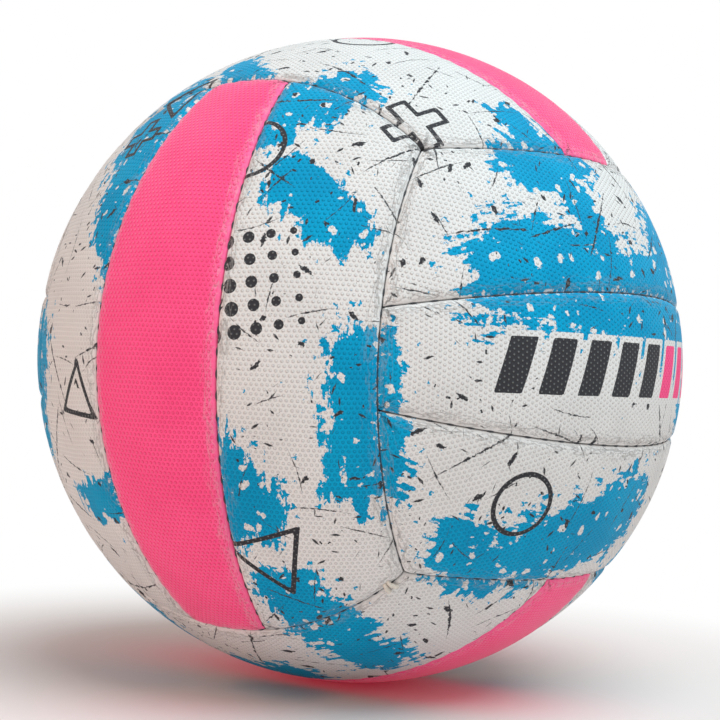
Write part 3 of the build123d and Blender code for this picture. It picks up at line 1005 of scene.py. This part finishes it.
# %% Eighteen panels
PANEL_SHIFT, MAP_SHIFT = 7.3, (331, 217)  # from one panel to the next, in noise and in mm of the map
panel_triangles = 0
for number, (group, strip) in enumerate(strips):
    name = f"cover_{group}_{strip}"
    middle, valve = strip == "middle", name == "cover_back_middle"
    points, quads, triangles = panel_body(middle, valve)
    unit = to_unit(points)
    distances, places = seam_table(unit, middle)
    nearest = distances.argmin(axis=0)
    x, y = strip_map(unit, middle)
    turn = strip_frame(group, strip)
    mesh = make_mesh(name + "_sheet", points @ turn.T, quads, triangles)
    numbers = {"edge": distances.min(axis=0), "run": np.take_along_axis(places, nearest[None], 0)[0],
               "panel": np.full(len(points), PANEL_SHIFT * number)}
    plain = middle and group in PLAIN_GROUPS
    if not plain:
        numbers.update(print_fields(unit @ turn.T, x, y, name == "cover_right_middle"))
    set_numbers(mesh, numbers)
    set_map(mesh, "strip", x + MAP_SHIFT[0] * number, y + MAP_SHIFT[1] * number)
    material, slot = (pink_material, "cover_plain") if plain else (printed_material, "cover_printed")
    add_piece(name + "_sheet", mesh, material, slot, name)
    panel_triangles += 2 * len(quads) + len(triangles)
print("eighteen panels,", panel_triangles, "triangles")

# %% [markdown]
# The thread in the seams.
# The panels are sewn through their folded edges with a waxed dark thread, which shows as short dashes down
# in the seam. It is a tube carried along the seam: the path is the seam's circle, and its depth goes up and
# down once for each stitch. A curve with a round bevel would look the same, but the formula gives the
# stitches at once.

# %% Tubes
def tube(path, side, up, radius, sides):
    """A round tube: circles of the given radius in the plane of side and up at each point of a path, with a
    single point closing each end. The radius may change along the path or around the circle."""
    turn = np.linspace(0, 2 * np.pi, sides, endpoint=False)
    ring = side[:, None] * np.cos(turn)[None, :, None] + up[:, None] * np.sin(turn)[None, :, None]
    points = (path[:, None] + ring * np.broadcast_to(radius, (len(path), sides))[..., None]).reshape(-1, 3)
    index = np.arange(len(path) * sides).reshape(len(path), sides)
    after = np.roll(index, -1, axis=1)
    quads = np.stack([index[:-1], after[:-1], after[1:], index[1:]], axis=-1).reshape(-1, 4)
    first, last = len(points), len(points) + 1
    points = np.concatenate([points, path[:1], path[-1:]])
    caps = np.concatenate([np.stack([np.full(sides, first), after[0], index[0]], axis=1),
                           np.stack([np.full(sides, last), index[-1], after[-1]], axis=1)])
    return points, quads, caps


def join_parts(parts):
    """One set of points and faces from several: the indices of each go up by the points before it."""
    points, quads, caps = zip(*parts)
    shifts = np.cumsum([0] + [len(p) for p in points[:-1]])
    return (np.concatenate(points), np.concatenate([q + s for q, s in zip(quads, shifts)]),
            np.concatenate([c + s for c, s in zip(caps, shifts)]))


THREAD_RADIUS, THREAD_SIDES = 0.32, 8
THREAD_DEEP, THREAD_LIFT = 2.3, 0.9  # mm below the full radius, and mm up at a stitch
THREAD_DASH = 1.5  # a power that shortens what comes up
THREAD_STOP, THREAD_STEP = 1.2, 0.6  # mm short of the corner, and mm between the tube's rings


def seam_thread(kind):
    """A seam's thread: the circle of the seam, at a depth that swings by a power of a cosine once per
    stitch."""
    if kind == "side":
        axis, mid, height, circle, span = side_axis, side_mid, SIDE_HEIGHT, np.sin(SIDE_TURN), SIDE_SPAN
    else:
        axis = np.array([0, np.cos(MIDDLE_HALF), -np.sin(MIDDLE_HALF)])
        mid = np.array([0, np.sin(MIDDLE_HALF), np.cos(MIDDLE_HALF)])
        height, circle, span = 0.0, 1.0, INNER_SPAN
    radius = BALL_RADIUS * circle
    span = span - THREAD_STOP / radius
    turn = np.linspace(-span, span, int(2 * span * radius / THREAD_STEP))
    unit = axis * height + circle * (np.outer(np.cos(turn), mid) + np.outer(np.sin(turn), (1, 0, 0)))
    swing = 0.5 + 0.5 * np.cos(2 * np.pi * turn * radius / STITCH_PITCH)
    depth = THREAD_DEEP - THREAD_LIFT * swing**THREAD_DASH
    ahead = np.outer(-np.sin(turn), mid) + np.outer(np.cos(turn), (1, 0, 0))
    path = unit * (BALL_RADIUS - depth)[:, None]
    return tube(path, np.cross(unit, ahead), unit, THREAD_RADIUS, THREAD_SIDES)


print("long side's thread has", len(seam_thread("side")[0]), "points")

# %% Thread finish and threads
def thread_finish(name, colour, light):
    """Waxed yarn: fine noise for its fibres and coarser noise for its shade, on a dull surface."""
    finish = Finish(name, {"IOR": 1.5})
    spot = finish.object_place()
    fibre = finish.noise(spot, 2600.0, 3.0, 0.6)
    shade = finish.noise(spot, 240.0, 2.0, 0.5)
    mixed = finish.mix(colour, light, (fibre * 0.7 + shade * 0.3).step(0.35, 0.75))
    normal = finish.bump(fibre, 0.6, 0.2 * MM)
    return finish.shade(Base_Color=mixed, Roughness=0.62 + fibre * 0.2, Normal=normal)


seam_thread_material = thread_finish("seam_thread", (0.028, 0.03, 0.036), (0.085, 0.09, 0.10))
for group in GROUPS:
    parts = []
    for kind in ("side", "inner"):
        points, quads, caps = seam_thread(kind)
        parts += [(points, quads, caps), (points @ HALF_TURN.T, quads, caps)]
    points, quads, caps = join_parts(parts)
    mesh = make_mesh(f"thread_{group}_yarn", points @ strip_frame(group, "middle").T, quads, caps)
    add_piece(f"thread_{group}_yarn", mesh, seam_thread_material, "thread", f"thread_{group}")
print("threads of", 2 * len(quads) + len(caps), "triangles for each group")

# %% [markdown]
# The closing stitches.
# The last seam is closed from outside by hand, near a corner, so two plump pale stitches show there. Each
# is a two-ply yarn laid over the seam in a low arch whose ends dive into the panels. The two plies come
# from a profile with two lobes that turns as it goes along. Two tubes wound round each other would do as
# well, with a gap between them that nobody could see at this size.

# %% Two stitches
FIRST_STITCH, STITCH_STEP, STITCH_SPLAY = 5.0, 2.2, np.radians(14)  # mm from the corner, mm apart, and slant
STITCH_HALF, STITCH_RISE, STITCH_DIVE = 1.75, 0.35, 1.25  # mm: half its length, its top, its fall to the ends
YARN_RADIUS, YARN_TAPER = 0.72, 0.25  # mm, and how much thinner the ends are
PLY_LOBE, PLY_TWIST = 0.1, 3.4  # of the radius, and radians from the middle to an end
STITCH_RINGS, STITCH_SIDES = 33, 20


def closing_stitch(number):
    """An arch over the seam: height falls with the fourth power of the distance from the seam's line, and
    the profile's radius has two lobes that turn about once over its length."""
    turn = SIDE_SPAN - (FIRST_STITCH + number * STITCH_STEP) / (BALL_RADIUS * np.sin(SIDE_TURN))
    round_axis = side_mid * np.cos(turn) + np.array([np.sin(turn), 0, 0])
    up = side_axis * SIDE_HEIGHT + np.sin(SIDE_TURN) * round_axis
    over = to_unit(side_axis - up * (side_axis @ up))
    beside = np.cross(up, over)
    lean = STITCH_SPLAY * (-1) ** number
    over, beside = over * np.cos(lean) + beside * np.sin(lean), beside * np.cos(lean) - over * np.sin(lean)
    reach = np.linspace(-1, 1, STITCH_RINGS)
    arch = STITCH_RISE - STITCH_DIVE * reach**4
    path = up * BALL_RADIUS + np.outer(reach * STITCH_HALF, over) + np.outer(arch, up)
    slope = to_unit(np.gradient(path, axis=0))
    around = np.linspace(0, 2 * np.pi, STITCH_SIDES, endpoint=False)
    lobes = 1 + PLY_LOBE * np.cos(2 * (around[None] - PLY_TWIST * reach[:, None]))
    radius = YARN_RADIUS * lobes * (1 - YARN_TAPER * reach[:, None] ** 4)
    return tube(path, np.broadcast_to(beside, path.shape), np.cross(slope, beside), radius, STITCH_SIDES)


closing_material = thread_finish("closing_yarn", (0.66, 0.61, 0.53), (0.84, 0.81, 0.74))
points, quads, caps = join_parts([closing_stitch(n) for n in range(2)])
mesh = make_mesh("closing_stitch_yarn", points @ strip_frame("bottom", "middle").T, quads, caps)
add_piece("closing_stitch_yarn", mesh, closing_material, "closing_thread", "closing_stitch")
print("closing stitches of", len(points), "points")

# %% [markdown]
# The parts under the cover.
# The solids of the valve, the bladder and the cloth backing are already the right shape, so they stay and
# only get a finish. Of these, the rubber plug of the valve shows through its hole. The others are finished
# too, because the ball can be taken apart.

# %% Rubber and cloth
WEAVE = 4200.0  # radians for each metre, so a yarn every 0.75 mm


def rubber_finish(name, colour, worn, scale):
    """Moulded rubber: a faint mottle in colour and gloss and a fine grain."""
    finish = Finish(name, {"IOR": 1.5})
    spot = finish.object_place()
    mottle = finish.noise(spot, scale, 4.0, 0.6)
    grain = finish.noise(spot, scale * 9, 2.0, 0.5)
    mixed = finish.mix(colour, worn, mottle.step(0.35, 0.75))
    normal = finish.bump(grain, 0.25, 0.3 * MM)
    return finish.shade(Base_Color=mixed, Roughness=0.5 + mottle * 0.25, Normal=normal)


def cloth_finish(name, warp, weft):
    """Plain weave: two crossed sine waves, one yarn over the other by turns, on the ball's own
    coordinates."""
    finish = Finish(name, {"IOR": 1.45})
    spot = finish.object_place()
    x, y, z = finish.parts(spot)
    over = ((x + z) * WEAVE).sine() * ((y - z) * WEAVE).sine()
    fuzz = finish.noise(spot, 900.0, 3.0, 0.6)
    mixed = finish.mix(warp, weft, (over * 0.5 + fuzz * 0.6).step(0.0, 0.8))
    normal = finish.bump(over, 0.4, 0.3 * MM)
    return finish.shade(Base_Color=mixed, Roughness=0.8 + fuzz * 0.15, Normal=normal)


cloth = cloth_finish("backing_cloth", (0.62, 0.58, 0.50), (0.72, 0.69, 0.62))
bladder_rubber = rubber_finish("bladder_rubber", (0.016, 0.016, 0.017), (0.03, 0.03, 0.031), 60.0)
valve_rubber = rubber_finish("valve_rubber", (0.03, 0.03, 0.032), (0.055, 0.055, 0.056), 260.0)
under_cover = {node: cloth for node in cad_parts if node.startswith("backing_")}
under_cover.update(bladder=bladder_rubber, bladder_patch=cloth)
under_cover.update(valve_seat=valve_rubber, valve_plug=valve_rubber)
for node, material in under_cover.items():
    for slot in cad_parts[node].material_slots:
        slot.material = material
print("new finish on", len(under_cover), "solids")

# %% [markdown]
# Floor, light and camera.
# The ball stands on a pale, slightly warm floor that fades into a white surround. One large cool lamp,
# above and to the right of the camera, gives the slow fall from light to shade. A small warm lamp low on
# the left and a slightly warm surround fill the rest, as a room's walls would. A picture of a room could
# light the ball too, but two lamps are easier to set, at a level where a colour renders about as it is
# written.

# %% Floor and surround
FLOOR_REACH, FLOOR_GAP = 4000.0, 0.2  # mm from the ball's middle to the floor's edge, and under the ball
FADE_START, FADE_END = 0.006, 0.07  # squares of the metres out between which the floor turns white


def white_floor():
    """A floor that keeps its shadow near the ball and turns to plain white for the camera further out."""
    corners = FLOOR_REACH * np.array([(-1, -1, 0), (1, -1, 0), (1, 1, 0), (-1, 1, 0)])
    floor = make_mesh("floor", corners - (0, 0, BALL_RADIUS + FLOOR_GAP), np.array([[0, 1, 2, 3]]))
    piece = bpy.data.objects.new("floor", floor)
    bpy.context.collection.objects.link(piece)
    finish = Finish("floor_pale", {"Base Color": (0.84, 0.77, 0.74), "Roughness": 0.9})
    x, y, _ = finish.parts(finish.object_place())
    far = (x * x + y * y).step(FADE_START, FADE_END)
    plain = Wire(finish, finish.shader.outputs[0])
    glow = finish.node("ShaderNodeEmission", {}, {"Color": (1, 1, 1), "Strength": 1.0})
    finish.show("Material Output", plain, glow, far * finish.seen_white())
    floor.materials.append(finish.material)


def even_surround(level, tint):
    """A world that lights evenly at the given level and is white where the camera sees it."""
    world = bpy.data.worlds.new("surround")
    bpy.context.scene.world = world
    world.use_nodes = True
    graph = Graph(world.node_tree)
    light = graph.node("ShaderNodeBackground", {}, {"Color": tint, "Strength": level})
    white = graph.node("ShaderNodeBackground", {}, {"Color": (1, 1, 1), "Strength": 1.0})
    graph.show("World Output", light, white, graph.seen_white())


white_floor()
even_surround(level=0.46, tint=(1.0, 0.88, 0.83))
print("floor at", -BALL_RADIUS - FLOOR_GAP, "mm")

# %% Camera and lamps
VIEW_AZIMUTH, VIEW_ELEVATION, VIEW_ROLL = np.radians((34.83, -0.34, 2.42))
VIEW_DISTANCE = 0.5982  # m from the middle of the ball
LENS, SENSOR = 85.15, 36.0  # mm
back = Vector((np.sin(VIEW_AZIMUTH) * np.cos(VIEW_ELEVATION), -np.cos(VIEW_AZIMUTH) * np.cos(VIEW_ELEVATION),
               np.sin(VIEW_ELEVATION)))
rightward = Vector((0, 0, 1)).cross(back).normalized()
up = back.cross(rightward) * np.cos(VIEW_ROLL) - rightward * np.sin(VIEW_ROLL)
side = up.cross(back)
camera = bpy.data.objects.new("camera", bpy.data.cameras.new("camera"))
camera.data.lens, camera.data.sensor_width = LENS, SENSOR
camera.data.clip_start = 0.01
turned = Matrix((side, up, back)).transposed().to_4x4()
camera.matrix_world = Matrix.Translation(back * VIEW_DISTANCE) @ turned
bpy.context.collection.objects.link(camera)
bpy.context.scene.camera = camera


def soft_lamp(name, size, energy, tint, spot):
    """A round area lamp at a spot in metres, turned to shine at the middle of the ball."""
    lamp = bpy.data.objects.new(name, bpy.data.lights.new(name, "AREA"))
    lamp.data.shape, lamp.data.size = "DISK", size
    lamp.data.energy, lamp.data.color = energy, tint
    lamp.visible_camera = False
    lamp.matrix_world = Matrix.Translation(spot) @ spot.to_track_quat("Z", "Y").to_matrix().to_4x4()
    bpy.context.collection.objects.link(lamp)


day_spot = back * 0.55 + rightward * 0.45 + Vector((0, 0, 1.38))
fill_spot = back * 0.5 - rightward * 0.7 + Vector((0, 0, 0.1))
soft_lamp("day_lamp", size=1.4, energy=23.5, tint=(0.76, 0.94, 1.0), spot=day_spot)
soft_lamp("warm_fill", size=0.4, energy=1.15, tint=(1.0, 0.57, 0.4), spot=fill_spot)
bpy.context.scene.view_settings.view_transform = "Standard"
print("camera at", [round(c, 4) for c in camera.matrix_world.translation])
